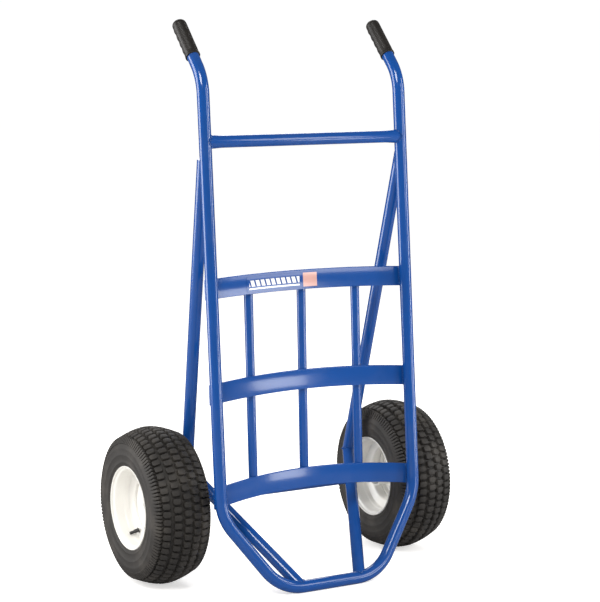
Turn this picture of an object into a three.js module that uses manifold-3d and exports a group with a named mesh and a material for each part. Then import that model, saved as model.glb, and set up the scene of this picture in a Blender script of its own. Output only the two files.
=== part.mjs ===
// A nursery hand truck for root balls: a bent tube frame with a narrow nose, three bowed bands
// backed by upright bars, braces down to an axle, and two wide turf tyres on dished steel wheels.
// Millimetres. X runs across the truck, -Y is the load side, +Z is up. The origin is on the floor
// under the middle of the truck's box.
import * as THREE from "three";
import { mergeVertices } from "three/addons/utils/BufferGeometryUtils.js";
import Module from "manifold-3d";

const wasm = await Module();
wasm.setup();

// ---- Driving dimensions ----

const GAP = 0.3; // between pieces that touch on the real truck
const RUNNING_GAP = 0.5; // radial, between the axle and what turns or slides on it

const TUBE_RADIUS = 15.9; // frame tube, braces and cross tube
const TUBE_WALL = 2.1;
const TUBE_SIDES = 12;
const HANDLE_BEND_RADIUS = 118;
const FOOT_BEND_RADIUS = 138; // where each rail turns in towards the nose
const NOSE_BEND_RADIUS = 122;
const BEND_STEPS = 4;

const RAIL_HALF_SPACING = 286.8;
const RAIL_LEAN = 0.0762; // rearward travel of a rail for each millimetre of height
const RAIL_FOOT_Y = 6.4; // where the line of a rail would meet the floor
const RAIL_CORNER_Z = 208.4; // corner between a rail and the tapered foot
const HANDLE_CORNER_Z = 1308.5;
const HANDLE_LENGTH = 194.5; // from the handle corner to the end of the grip
const HANDLE_ANGLE = 44; // degrees back from upright
const NOSE_HALF_WIDTH = 144.3; // corner of the nose
const NOSE_Y = -31.2;

const CROSS_TUBE_Z = 1150.7;

const BAND_HEIGHT = 50.8;
const BAND_THICKNESS = 4.8;
const BAND_OVERHANG = 10; // past the middle of a rail, on its outer side
const BAND_RISE = 0.32; // upward travel of a band for each millimetre that it bows back
const BAND_SEGMENTS = 15; // odd, so that a flat facet lies in the middle
const TOP_BAND = { z: 781, bow: 21 };
const BOTTOM_BAND = { z: 254, bow: 45 };
const MIDDLE_BAND_Z = 517;
const BOW_SLACK = 0.5; // keeps the middle band clear of the straight bars behind it

const BAR_RADIUS = 11.8;
const BAR_WALL = 2;
const BAR_SPACING = 158.5;
const BAR_INSET = 12; // from the band's edge to the end of a bar
const BAR_SIDES = 12;

const LABEL_CENTRE = -66; // to the left of the middle of the top band
const LABEL_WIDTH = 215;
const LABEL_HEIGHT = 40;
const LABEL_THICKNESS = 0.8;

const BRACE_TOP_Z = 1108; // where the line of an upper brace ends at the back of the rail
const BRACE_TOP_OUT = 3.5; // outboard of the middle of the rail
const BRACE_TOP_BACK = 7.4; // behind the middle of the rail
const KNEE_HALF_SPACING = 248.7; // joint between upper and lower brace
const KNEE_Y = 296.1;
const KNEE_Z = 277.9;
const BRACE_FOOT_HALF_SPACING = 86.4;

const GRIP_WALL = 2.9; // between the tube and the outside of the grip
const GRIP_RIDGE = 1.4;
const GRIP_RIDGES = 4;
const GRIP_LENGTH = 122;
const GRIP_END_WALL = 6;
const GRIP_SIDES = 20;

const TYRE_RADIUS = 205;
const TYRE_HALF_WIDTH = 81;
const TREAD_HALF_WIDTH = 67;
const TREAD_EDGE_RADIUS = 183;
const TYRE_WALL = 11;
const WHEEL_HALF_TRACK = 365.6;
const WHEEL_SEGMENTS = 28;

const RIM_HALF_WIDTH = 75.4;
const RIM_FLANGE_RADIUS = 108;
const RIM_SEAT_RADIUS = 100;
const RIM_WELL_RADIUS = 76.5;
const RIM_WELL_HALF_WIDTH = 23;
const RIM_SHEET = 2.5;

const DISC_SHEET = 3;
const DISC_FACE = 16; // outboard of the middle of the wheel
const DISC_HUB_STEP = 7; // how far the disc is dished back at the hub

const HUB_RADIUS = 28;
const HUB_BORE = 20;
const HUB_OUTBOARD = 12; // from the middle of the wheel to each end of its hub
const HUB_INBOARD = 58;
const HUB_SIDES = 16;
const BEARING_DEPTH = 12;
const BEARING_FLANGE_RADIUS = 24.5;
const BEARING_FLANGE = 2;

const AXLE_RADIUS = 12.7;
const AXLE_SIDES = 24;
const COLLAR_RADIUS = 17.5;
const COLLAR_WIDTH = 20;
const WASHER_RADIUS = 22;
const WASHER_THICKNESS = 3;
const COTTER_RADIUS = 2;
const COTTER_EYE = 5.5;
const COTTER_STANDOFF = 1.1; // between the eye and the axle
const AXLE_END = 4; // past the cotter pin

const VALVE_PITCH = 83; // distance from the axle
const VALVE_ANGLE = -61; // degrees above level, to the rear
const VALVE_TILT = 20; // degrees that it leans away from the axle
const VALVE_LENGTH = 22;
const VALVE_RADIUS = 5.2;
const VALVE_CAP_LENGTH = 10;
const VALVE_CAP_RADIUS = 4.4;

// ---- Materials ----

const paint = () => new THREE.MeshStandardMaterial({ color: 0x21509a, roughness: 0.35, metalness: 0.1 });
const rimPaint = () => new THREE.MeshStandardMaterial({ color: 0xf0ece0, roughness: 0.4, metalness: 0.05 });
const rubber = () => new THREE.MeshStandardMaterial({ color: 0x2b2825, roughness: 0.85, metalness: 0 });
const gripRubber = () => new THREE.MeshStandardMaterial({ color: 0x322d28, roughness: 0.7, metalness: 0 });
const zinc = () => new THREE.MeshStandardMaterial({ color: 0xa9a9a6, roughness: 0.4, metalness: 0.9 });
const labelVinyl = () => new THREE.MeshStandardMaterial({ color: 0xf2f2f0, roughness: 0.4, metalness: 0 });

const truck = new THREE.Group();

function addPiece(parent, name, geometry, material) {
  const mesh = new THREE.Mesh(geometry, material);
  mesh.name = name;
  parent.add(mesh);
  return mesh;
}

// ---- Solids ----

function toSolid(geometry) {
  const bare = geometry.clone();
  bare.deleteAttribute("normal");
  bare.deleteAttribute("uv");
  const merged = mergeVertices(bare, 1e-3);
  const mesh = new wasm.Mesh({
    numProp: 3,
    vertProperties: merged.attributes.position.array,
    triVerts: new Uint32Array(merged.index.array),
  });
  return new wasm.Manifold(mesh);
}

function toGeometry(solid) {
  const mesh = solid.getMesh();
  const geometry = new THREE.BufferGeometry();
  geometry.setAttribute("position", new THREE.BufferAttribute(mesh.vertProperties, 3));
  geometry.setIndex(new THREE.BufferAttribute(mesh.triVerts, 1));
  return geometry;
}

function cut(geometry, ...cutters) {
  return toGeometry(cutters.reduce((solid, cutter) => solid.subtract(toSolid(cutter)), toSolid(geometry)));
}

function join(...geometries) {
  return toGeometry(geometries.map(toSolid).reduce((all, solid) => all.add(solid)));
}

// ---- Tubes and bent paths ----

// A path with its rings at chosen stations: one at each end of a straight run and a few in a bend.
class StationPath extends THREE.Curve {
  constructor(stations) {
    super();
    this.stations = stations;
  }
  station(u) {
    return this.stations[Math.round(u * (this.stations.length - 1))];
  }
  getPointAt(u, target = new THREE.Vector3()) {
    return target.copy(this.station(u).point);
  }
  getTangentAt(u, target = new THREE.Vector3()) {
    return target.copy(this.station(u).tangent);
  }
}

function bendStations(before, corner, after, radius) {
  const into = corner.clone().sub(before).normalize();
  const out = after.clone().sub(corner).normalize();
  const turn = into.angleTo(out);
  const axis = into.clone().cross(out).normalize();
  const inward = axis.clone().cross(into);
  const start = corner.clone().addScaledVector(into, -radius * Math.tan(turn / 2));
  return Array.from({ length: BEND_STEPS + 1 }, (_, step) => {
    const angle = (turn * step) / BEND_STEPS;
    return {
      point: start.clone()
        .addScaledVector(into, radius * Math.sin(angle))
        .addScaledVector(inward, radius * (1 - Math.cos(angle))),
      tangent: into.clone().applyAxisAngle(axis, angle),
    };
  });
}

// corners holds the corner points; radii holds the bend radius at each inner one.
function bentPath(corners, radii = []) {
  const last = corners.length - 1;
  const stations = [{ point: corners[0], tangent: corners[1].clone().sub(corners[0]).normalize() }];
  for (let i = 1; i < last; i++) {
    stations.push(...bendStations(corners[i - 1], corners[i], corners[i + 1], radii[i - 1]));
  }
  const endTangent = corners[last].clone().sub(corners[last - 1]).normalize();
  stations.push({ point: corners[last], tangent: endTangent });
  return new StationPath(stations);
}

function sweep(path, radius, sides, boreRadius = 0, turn = 0) {
  const section = new THREE.Shape().absarc(0, 0, radius, turn, turn + 2 * Math.PI, false);
  if (boreRadius > 0) {
    section.holes.push(new THREE.Path().absarc(0, 0, boreRadius, turn, turn - 2 * Math.PI, true));
  }
  const steps = path.stations.length - 1;
  return new THREE.ExtrudeGeometry(section, { extrudePath: path, steps, curveSegments: sides / 2 });
}

const frameTube = (path, turn) => sweep(path, TUBE_RADIUS, TUBE_SIDES, TUBE_RADIUS - TUBE_WALL, turn);

// The turn of a section that makes one of its flats face the given way at a station.
function flatTowards(path, station, direction, sides) {
  const frames = path.computeFrenetFrames(path.stations.length - 1, false);
  const across = direction.dot(frames.binormals[station]);
  return Math.atan2(across, direction.dot(frames.normals[station])) + Math.PI / sides;
}

// A round cutter that leaves the named gap round a tube of the given radius.
const CUTTER_SIDES = 24;
function clearance(path, radius) {
  return sweep(path, (radius + GAP) / Math.cos(Math.PI / CUTTER_SIDES), CUTTER_SIDES);
}

function box(width, depth, height, centre) {
  return new THREE.BoxGeometry(width, depth, height).translate(centre.x, centre.y, centre.z);
}

// ---- Places that pieces share ----

const point = (x, y, z) => new THREE.Vector3(x, y, z);
const railY = (z) => RAIL_FOOT_Y + RAIL_LEAN * z;
const railPoint = (side, z) => point(side * RAIL_HALF_SPACING, railY(z), z);
const noseZ = TUBE_RADIUS * Math.cos(Math.PI / TUBE_SIDES); // a flat of the nose lies on the floor
const nosePoint = (side) => point(side * NOSE_HALF_WIDTH, NOSE_Y, noseZ);
const kneePoint = (side) => point(side * KNEE_HALF_SPACING, KNEE_Y, KNEE_Z);
const footPoint = (side) => point(side * BRACE_FOOT_HALF_SPACING, NOSE_Y, noseZ);

const handleSlope = THREE.MathUtils.degToRad(HANDLE_ANGLE);
const handleDirection = point(0, Math.sin(handleSlope), Math.cos(handleSlope));
const handlePoint = (side, along) =>
  railPoint(side, HANDLE_CORNER_Z).addScaledVector(handleDirection, along);

// The axle lies against the underside of the lower braces, at the height of the wheels' middle.
const braceRun = Math.hypot(KNEE_Y - NOSE_Y, KNEE_Z - noseZ);
const braceRise = (KNEE_Z - noseZ) / (KNEE_Y - NOSE_Y);
const axleDrop = ((TUBE_RADIUS + AXLE_RADIUS + GAP) * braceRun) / (KNEE_Y - NOSE_Y);
const axleZ = TYRE_RADIUS;
const axleY = NOSE_Y + (axleZ + axleDrop - noseZ) / braceRise;

// ---- Frame: one bent tube from handle to handle, round the nose ----

const tubeEnd = HANDLE_LENGTH - GRIP_END_WALL - GAP;
const frameCorners = [
  handlePoint(-1, tubeEnd),
  railPoint(-1, HANDLE_CORNER_Z),
  railPoint(-1, RAIL_CORNER_Z),
  nosePoint(-1),
  nosePoint(1),
  railPoint(1, RAIL_CORNER_Z),
  railPoint(1, HANDLE_CORNER_Z),
  handlePoint(1, tubeEnd),
];
const sideRadii = [HANDLE_BEND_RADIUS, FOOT_BEND_RADIUS, NOSE_BEND_RADIUS];
const frameRadii = [...sideRadii, ...sideRadii.toReversed()];
const framePath = bentPath(frameCorners, frameRadii);
const noseStation = framePath.stations.length / 2;
const frameTurn = flatTowards(framePath, noseStation, point(0, 0, -1), TUBE_SIDES);
addPiece(truck, "main_frame_tube", frameTube(framePath, frameTurn), paint());

const railLine = (side) => bentPath([railPoint(side, 0), railPoint(side, HANDLE_CORNER_Z)]);
const noseLine = bentPath(frameCorners.slice(2, 6), frameRadii.slice(2, 4));

// The ends of the cross tube are saddled to the rails.
addPiece(
  truck,
  "upper_cross_tube",
  cut(
    frameTube(bentPath([railPoint(-1, CROSS_TUBE_Z), railPoint(1, CROSS_TUBE_Z)])),
    clearance(railLine(-1), TUBE_RADIUS),
    clearance(railLine(1), TUBE_RADIUS),
  ),
  paint(),
);

// ---- Bowed bands, welded across the backs of the rails ----

const bowRadius = (bow) => (RAIL_HALF_SPACING ** 2 + bow ** 2) / (2 * bow);
const endSlope = (bow) => Math.asin(RAIL_HALF_SPACING / bowRadius(bow));
// Front face of a band behind the rail's line, at the rail and at a place x across the truck.
const bandEndOffset = (bow) => TUBE_RADIUS / Math.cos(endSlope(bow));
const bandOffset = (bow, x) =>
  bandEndOffset(bow) + bow - bowRadius(bow) + Math.sqrt(bowRadius(bow) ** 2 - x ** 2);

// A strip that follows a band: from radius inner to outer of its bow, height along the rail.
function bowedStrip(band, halfWidth, innerShift, thickness, height, centre = 0) {
  const radius = bowRadius(band.bow);
  const inner = radius + innerShift;
  const outer = inner + thickness;
  const half = Math.asin(halfWidth / radius);
  const middle = Math.PI / 2 - Math.asin(centre / radius);
  const outline = new THREE.Shape();
  outline.absarc(0, 0, outer, middle - half, middle + half, false);
  outline.absarc(0, 0, inner, middle + half, middle - half, true);
  const strip = new THREE.ExtrudeGeometry(outline, {
    depth: height,
    steps: 1,
    bevelEnabled: false,
    curveSegments: BAND_SEGMENTS,
  });
  strip.translate(0, bandEndOffset(band.bow) + band.bow - radius, -height / 2);
  // y leans back with height as the rails do, and z rises as the band bows back.
  const lean = new THREE.Matrix4().set(1, 0, 0, 0, 0, 1, RAIL_LEAN, 0, 0, BAND_RISE, 1, 0, 0, 0, 0, 1);
  strip.applyMatrix4(lean);
  return strip.translate(0, railY(band.z), band.z - BAND_RISE * bandEndOffset(band.bow));
}

function addBand(name, band) {
  const halfWidth = RAIL_HALF_SPACING + BAND_OVERHANG;
  const strip = bowedStrip(band, halfWidth, 0, BAND_THICKNESS, BAND_HEIGHT);
  const rails = [-1, 1].map((side) => clearance(railLine(side), TUBE_RADIUS));
  addPiece(truck, name, cut(strip, ...rails), paint());
}

// The middle band bows between the other two, because straight bars run behind all three.
const bowShare = (TOP_BAND.z - MIDDLE_BAND_Z) / (TOP_BAND.z - BOTTOM_BAND.z);
const middleBow = TOP_BAND.bow + (BOTTOM_BAND.bow - TOP_BAND.bow) * bowShare - BOW_SLACK;
const MIDDLE_BAND = { z: MIDDLE_BAND_Z, bow: middleBow };

addBand("top_band", TOP_BAND);
addBand("middle_band", MIDDLE_BAND);
addBand("bottom_band", BOTTOM_BAND);

const labelShift = -GAP - LABEL_THICKNESS;
addPiece(
  truck,
  "top_band_label",
  bowedStrip(TOP_BAND, LABEL_WIDTH / 2, labelShift, LABEL_THICKNESS, LABEL_HEIGHT, LABEL_CENTRE),
  labelVinyl(),
);

// ---- Upright bars behind the bands ----

const bandRise = (band, x) => BAND_RISE * (bandOffset(band.bow, x) - bandEndOffset(band.bow));

function barPoint(band, x, up) {
  const z = band.z + bandRise(band, x) + up;
  const slope = Math.asin(x / bowRadius(band.bow));
  const behind = (BAND_THICKNESS + BAR_RADIUS + 2 * GAP) / Math.cos(slope);
  return point(x, railY(band.z) + RAIL_LEAN * up + bandOffset(band.bow, x) + behind, z);
}

// A bar touches the top edge of the bottom band, and its own top end touches the top band.
function addBar(name, x) {
  const reach = BAND_HEIGHT / 2 - BAR_INSET;
  const low = barPoint(BOTTOM_BAND, x, BAND_HEIGHT / 2);
  const high = barPoint(TOP_BAND, x, reach);
  const down = low.clone().sub(high).normalize();
  const line = bentPath([low.clone().addScaledVector(down, BAND_HEIGHT / 2 + reach), high]);
  addPiece(truck, name, sweep(line, BAR_RADIUS, BAR_SIDES, BAR_RADIUS - BAR_WALL), paint());
}

addBar("left_upright_bar", -BAR_SPACING);
addBar("centre_upright_bar", 0);
addBar("right_upright_bar", BAR_SPACING);

// ---- Braces ----

const kneeCutSize = 4 * TUBE_RADIUS;

function braceTop(side) {
  return point(side * (RAIL_HALF_SPACING + BRACE_TOP_OUT), railY(BRACE_TOP_Z) + BRACE_TOP_BACK, BRACE_TOP_Z);
}

// A block that fills one side of the mitre plane at the knee, half a gap off the plane.
function kneeBlock(side, towards) {
  const up = braceTop(side).sub(kneePoint(side)).normalize();
  const down = footPoint(side).sub(kneePoint(side)).normalize();
  const normal = up.sub(down).normalize().multiplyScalar(towards);
  const block = new THREE.BoxGeometry(kneeCutSize, kneeCutSize, kneeCutSize);
  block.translate(0, 0, kneeCutSize / 2 - GAP / 2);
  const turn = new THREE.Quaternion().setFromUnitVectors(point(0, 0, 1), normal);
  block.applyQuaternion(turn);
  const knee = kneePoint(side);
  return block.translate(knee.x, knee.y, knee.z);
}

const pastKnee = (from, knee) =>
  knee.clone().addScaledVector(knee.clone().sub(from).normalize(), TUBE_RADIUS);

function addUpperBrace(name, side) {
  const top = braceTop(side);
  const tube = frameTube(bentPath([top, pastKnee(top, kneePoint(side))]));
  const frontOfRail = box(
    kneeCutSize,
    kneeCutSize,
    kneeCutSize * 4,
    point(side * RAIL_HALF_SPACING, railY(BRACE_TOP_Z) - kneeCutSize / 2, BRACE_TOP_Z),
  );
  const pieces = [clearance(railLine(side), TUBE_RADIUS), frontOfRail, kneeBlock(side, -1)];
  addPiece(truck, name, cut(tube, ...pieces), paint());
}

function addLowerBrace(name, side) {
  const foot = footPoint(side);
  const tube = frameTube(bentPath([pastKnee(foot, kneePoint(side)), foot]));
  addPiece(truck, name, cut(tube, clearance(noseLine, TUBE_RADIUS), kneeBlock(side, 1)), paint());
}

addUpperBrace("left_upper_brace", -1);
addUpperBrace("right_upper_brace", 1);
addLowerBrace("left_lower_brace", -1);
addLowerBrace("right_lower_brace", 1);

// ---- Lathed pieces ----

// profile is a closed loop of [radius, along] pairs; along runs outboard.
function ring(profile, segments) {
  const points = [...profile, profile[0]].map(([radius, along]) => new THREE.Vector2(radius, along));
  return new THREE.LatheGeometry(points, segments);
}

const tubeRing = (inner, outer, from, to, segments) =>
  ring([[inner, from], [outer, from], [outer, to], [inner, to]], segments);

// Closed outline of a sheet of the given thickness whose middle follows the [radius, along] line.
function sheetOutline(line, thickness) {
  const middle = line.map(([radius, along]) => new THREE.Vector2(radius, along));
  const offsets = middle.map((here, i) => {
    const before = middle[Math.max(i - 1, 0)];
    const after = middle[Math.min(i + 1, middle.length - 1)];
    const into = here.clone().sub(before).normalize();
    const out = after.clone().sub(here).normalize();
    const along = into.clone().add(out).normalize();
    const widen = into.lengthSq() * out.lengthSq() > 0 ? 1 / Math.max(along.dot(out), 0.5) : 1;
    return new THREE.Vector2(along.y, -along.x).multiplyScalar((thickness / 2) * widen);
  });
  const one = middle.map((here, i) => here.clone().add(offsets[i]).toArray());
  const other = middle.map((here, i) => here.clone().sub(offsets[i]).toArray());
  return [...one, ...other.reverse()];
}

// ---- Grips ----

const gripRadius = TUBE_RADIUS + GRIP_WALL;

function gripGeometry() {
  const bore = TUBE_RADIUS + GAP;
  const end = GRIP_LENGTH;
  const ridgeStart = 16;
  const pitch = (end - 2 * ridgeStart) / GRIP_RIDGES;
  const outside = [[gripRadius + GRIP_RIDGE, 0], [gripRadius + GRIP_RIDGE, ridgeStart / 2]];
  for (let i = 0; i < GRIP_RIDGES; i++) {
    outside.push([gripRadius - GRIP_RIDGE / 2, ridgeStart + i * pitch]);
    outside.push([gripRadius + GRIP_RIDGE / 2, ridgeStart + (i + 0.5) * pitch]);
  }
  outside.push([gripRadius, end - ridgeStart / 2], [gripRadius * 0.8, end]);
  const inside = [[0, end], [0, end - GRIP_END_WALL], [bore, end - GRIP_END_WALL], [bore, 0]];
  const points = [[bore, 0], ...outside, ...inside];
  const profile = points.map(([radius, along]) => new THREE.Vector2(radius, along));
  return new THREE.LatheGeometry(profile, GRIP_SIDES);
}

function addGrip(name, side) {
  const grip = addPiece(truck, name, gripGeometry(), gripRubber());
  grip.position.copy(handlePoint(side, HANDLE_LENGTH - GRIP_LENGTH));
  grip.quaternion.setFromUnitVectors(point(0, 1, 0), handleDirection);
}

addGrip("left_grip", -1);
addGrip("right_grip", 1);

// ---- Axle and what holds the wheels on it ----

const washerIn = WHEEL_HALF_TRACK + HUB_OUTBOARD + BEARING_FLANGE + 2 * GAP;
const washerOut = washerIn + WASHER_THICKNESS;
const cotterX = washerOut + GAP + COTTER_RADIUS;
const axleHalfLength = cotterX + COTTER_RADIUS + AXLE_END;
const collarOut = WHEEL_HALF_TRACK - HUB_INBOARD - BEARING_FLANGE - 2 * GAP;
const slideRadius = AXLE_RADIUS + RUNNING_GAP;

// Turns a shape made along Y to lie along X, with its +Y end on the named side.
const acrossTruck = (geometry, side) => geometry.rotateZ((-side * Math.PI) / 2);

const axleLength = 2 * axleHalfLength;
const axleBar = acrossTruck(new THREE.CylinderGeometry(AXLE_RADIUS, AXLE_RADIUS, axleLength, AXLE_SIDES), 1);
const cotterHole = (side) => {
  const radius = COTTER_RADIUS + GAP;
  const hole = new THREE.CylinderGeometry(radius, radius, 4 * AXLE_RADIUS, 12).rotateX(Math.PI / 2);
  return hole.translate(side * cotterX, 0, 0);
};
const axle = addPiece(truck, "axle", cut(axleBar, cotterHole(-1), cotterHole(1)), zinc());
axle.position.set(0, axleY, axleZ);

function cotterGeometry() {
  const bottom = -AXLE_RADIUS - COTTER_RADIUS * 2;
  const top = AXLE_RADIUS + COTTER_STANDOFF + COTTER_RADIUS + COTTER_EYE;
  const eyeSteps = 8;
  const sweepAngle = THREE.MathUtils.degToRad(280);
  const stations = [{ point: point(0, 0, bottom), tangent: point(0, 0, 1) }];
  for (let i = 0; i <= eyeSteps; i++) {
    const angle = (sweepAngle * i) / eyeSteps;
    stations.push({
      point: point(0, COTTER_EYE - COTTER_EYE * Math.cos(angle), top + COTTER_EYE * Math.sin(angle)),
      tangent: point(0, Math.sin(angle), Math.cos(angle)),
    });
  }
  return sweep(new StationPath(stations), COTTER_RADIUS, 8);
}

function addAxleFittings(label, side) {
  const fittings = new THREE.Group();
  fittings.position.set(0, axleY, axleZ);
  truck.add(fittings);
  const collar = tubeRing(slideRadius, COLLAR_RADIUS, collarOut - COLLAR_WIDTH, collarOut, HUB_SIDES);
  const washer = tubeRing(slideRadius, WASHER_RADIUS, washerIn, washerOut, HUB_SIDES);
  addPiece(fittings, `${label}_axle_collar`, acrossTruck(collar, side), zinc());
  addPiece(fittings, `${label}_hub_washer`, acrossTruck(washer, side), zinc());
  addPiece(fittings, `${label}_cotter_pin`, cotterGeometry(), zinc()).position.x = side * cotterX;
}

addAxleFittings("left", -1);
addAxleFittings("right", 1);

// ---- Wheels ----

const rimSeatOuter = RIM_SEAT_RADIUS + RIM_SHEET / 2;
const beadHeel = RIM_HALF_WIDTH - 8; // inner face of the rim flange

function rimLine() {
  const half = [
    [RIM_FLANGE_RADIUS, RIM_HALF_WIDTH],
    [RIM_FLANGE_RADIUS - 1, RIM_HALF_WIDTH - 6],
    [RIM_SEAT_RADIUS, RIM_HALF_WIDTH - 9],
    [RIM_SEAT_RADIUS - 1.5, RIM_WELL_HALF_WIDTH + 4],
    [RIM_WELL_RADIUS, RIM_WELL_HALF_WIDTH - 3],
  ];
  return [...half, ...half.map(([radius, along]) => [radius, -along]).reverse()];
}

const rimBarrel = () => ring(sheetOutline(rimLine(), RIM_SHEET), WHEEL_SEGMENTS);

function tyreGeometry() {
  const beadRadius = rimSeatOuter + 2 * GAP;
  const shoulder = (TREAD_EDGE_RADIUS + RIM_FLANGE_RADIUS) / 2;
  const outerHalf = [
    [TYRE_RADIUS, 0],
    [TYRE_RADIUS - 4.5, TREAD_HALF_WIDTH * 0.4],
    [TREAD_EDGE_RADIUS, TREAD_HALF_WIDTH],
    [shoulder + 18, TYRE_HALF_WIDTH - 3],
    [shoulder, TYRE_HALF_WIDTH],
    [RIM_FLANGE_RADIUS + 8, RIM_HALF_WIDTH + 1],
    [RIM_FLANGE_RADIUS - 1, beadHeel - 1],
    [beadRadius, beadHeel - 4],
    [beadRadius, beadHeel - 20],
  ];
  const innerHalf = [
    [RIM_FLANGE_RADIUS + 3, beadHeel - 15],
    [shoulder - 8, TYRE_HALF_WIDTH - TYRE_WALL],
    [TREAD_EDGE_RADIUS - TYRE_WALL, TREAD_HALF_WIDTH - TYRE_WALL],
    [TYRE_RADIUS - TYRE_WALL - 3, 0],
  ];
  const mirrored = (half) => half.map(([radius, along]) => [radius, -along]).reverse();
  return ring(
    [...outerHalf, ...innerHalf, ...mirrored(innerHalf).slice(1), ...mirrored(outerHalf).slice(0, -1)],
    WHEEL_SEGMENTS,
  );
}

function discGeometry() {
  const lip = RIM_WELL_RADIUS - RIM_SHEET / 2 - DISC_SHEET / 2 - GAP;
  const bore = HUB_RADIUS + GAP;
  const line = [
    [lip, DISC_FACE - 14],
    [lip, DISC_FACE - 3],
    [lip - 4, DISC_FACE],
    [bore + 18, DISC_FACE],
    [bore + 8, DISC_FACE - DISC_HUB_STEP],
    [bore + 0.1, DISC_FACE - DISC_HUB_STEP],
  ];
  return ring(sheetOutline(line, DISC_SHEET), WHEEL_SEGMENTS);
}

function bearingGeometry(end) {
  const face = (end > 0 ? HUB_OUTBOARD : HUB_INBOARD) + GAP;
  const profile = [
    [slideRadius, face - BEARING_DEPTH],
    [HUB_BORE - GAP, face - BEARING_DEPTH],
    [HUB_BORE - GAP, face],
    [BEARING_FLANGE_RADIUS, face],
    [BEARING_FLANGE_RADIUS, face + BEARING_FLANGE],
    [slideRadius, face + BEARING_FLANGE],
  ];
  const placed = profile.map(([radius, along]) => [radius, end * along]);
  return ring(end > 0 ? placed : placed.reverse(), HUB_SIDES);
}

// The stem stands on the outboard wall of the rim's well and leans a little away from the axle.
function addValve(wheel, label, side) {
  const angle = THREE.MathUtils.degToRad(VALVE_ANGLE);
  const tilt = THREE.MathUtils.degToRad(VALVE_TILT);
  const foot = RIM_WELL_HALF_WIDTH + RIM_SHEET / 2 + 2.9;
  const tip = VALVE_LENGTH;
  const neck = VALVE_CAP_RADIUS * 0.6;
  const stem = ring(
    [
      [0, 0],
      [VALVE_RADIUS, 0],
      [VALVE_RADIUS, VALVE_LENGTH * 0.6],
      [neck, VALVE_LENGTH * 0.66],
      [neck, tip],
      [0, tip],
    ],
    12,
  );
  const capFrom = tip - VALVE_CAP_LENGTH + 4;
  const cap = ring(
    [
      [0, tip + GAP],
      [neck + GAP, tip + GAP],
      [neck + GAP, capFrom],
      [VALVE_CAP_RADIUS, capFrom],
      [VALVE_CAP_RADIUS, capFrom + VALVE_CAP_LENGTH],
      [0, capFrom + VALVE_CAP_LENGTH],
    ],
    12,
  );
  // The wheel's own axes: Y runs outboard along the axle and Z is up.
  const outboard = point(0, 1, 0);
  const away = point(-side * Math.cos(angle), 0, Math.sin(angle));
  const valve = new THREE.Group();
  valve.position.copy(away).multiplyScalar(VALVE_PITCH).addScaledVector(outboard, foot);
  const lean = outboard.clone().multiplyScalar(Math.cos(tilt)).addScaledVector(away, Math.sin(tilt));
  valve.quaternion.setFromUnitVectors(outboard, lean);
  wheel.add(valve);
  addPiece(valve, `${label}_valve_stem`, stem, rubber());
  addPiece(valve, `${label}_valve_cap`, cap, rubber());
}

function addWheel(label, side) {
  const wheel = new THREE.Group();
  wheel.position.set(side * WHEEL_HALF_TRACK, axleY, axleZ);
  wheel.rotation.z = (-side * Math.PI) / 2;
  truck.add(wheel);
  addPiece(wheel, `${label}_tyre`, tyreGeometry(), rubber());
  addPiece(wheel, `${label}_rim_barrel`, rimBarrel(), rimPaint());
  addPiece(wheel, `${label}_wheel_disc`, discGeometry(), rimPaint());
  const hub = tubeRing(HUB_BORE, HUB_RADIUS, -HUB_INBOARD, HUB_OUTBOARD, HUB_SIDES);
  addPiece(wheel, `${label}_hub`, hub, rimPaint());
  addPiece(wheel, `${label}_outer_bearing`, bearingGeometry(1), zinc());
  addPiece(wheel, `${label}_inner_bearing`, bearingGeometry(-1), zinc());
  addValve(wheel, label, side);
}

addWheel("left", -1);
addWheel("right", 1);

// The origin goes under the middle of the truck, front to back.
truck.position.y = -(NOSE_Y - TUBE_RADIUS + axleY + TYRE_RADIUS) / 2;

export default truck;
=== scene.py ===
# %% [markdown]
# # Nursery ball cart
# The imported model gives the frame: where each body is, how it moves and how big it is. This script
# builds the finished look round it, in metres, in the same frame: +Z up, the load side towards -Y.

import math

import bmesh
import bpy
from mathutils import Matrix, Vector


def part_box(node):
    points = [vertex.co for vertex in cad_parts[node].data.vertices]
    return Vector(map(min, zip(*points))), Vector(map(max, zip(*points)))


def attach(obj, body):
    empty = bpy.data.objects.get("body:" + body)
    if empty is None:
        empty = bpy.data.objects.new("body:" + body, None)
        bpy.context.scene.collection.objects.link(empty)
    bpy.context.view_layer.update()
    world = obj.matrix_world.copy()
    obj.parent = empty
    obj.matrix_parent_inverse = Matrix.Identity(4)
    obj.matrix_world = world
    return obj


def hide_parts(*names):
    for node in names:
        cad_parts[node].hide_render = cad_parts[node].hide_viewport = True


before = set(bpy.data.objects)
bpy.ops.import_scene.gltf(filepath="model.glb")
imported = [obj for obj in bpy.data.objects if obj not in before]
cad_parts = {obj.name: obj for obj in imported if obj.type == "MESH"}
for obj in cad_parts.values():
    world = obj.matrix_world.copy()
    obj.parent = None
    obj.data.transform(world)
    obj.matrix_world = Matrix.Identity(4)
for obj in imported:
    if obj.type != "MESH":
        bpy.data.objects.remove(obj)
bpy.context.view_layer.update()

# %% [markdown]
# ## Sizes
# The same named sizes as the solid model, so that each finished piece lies on the one it stands for.
# They are millimetres, and MM turns them into metres.

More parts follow.
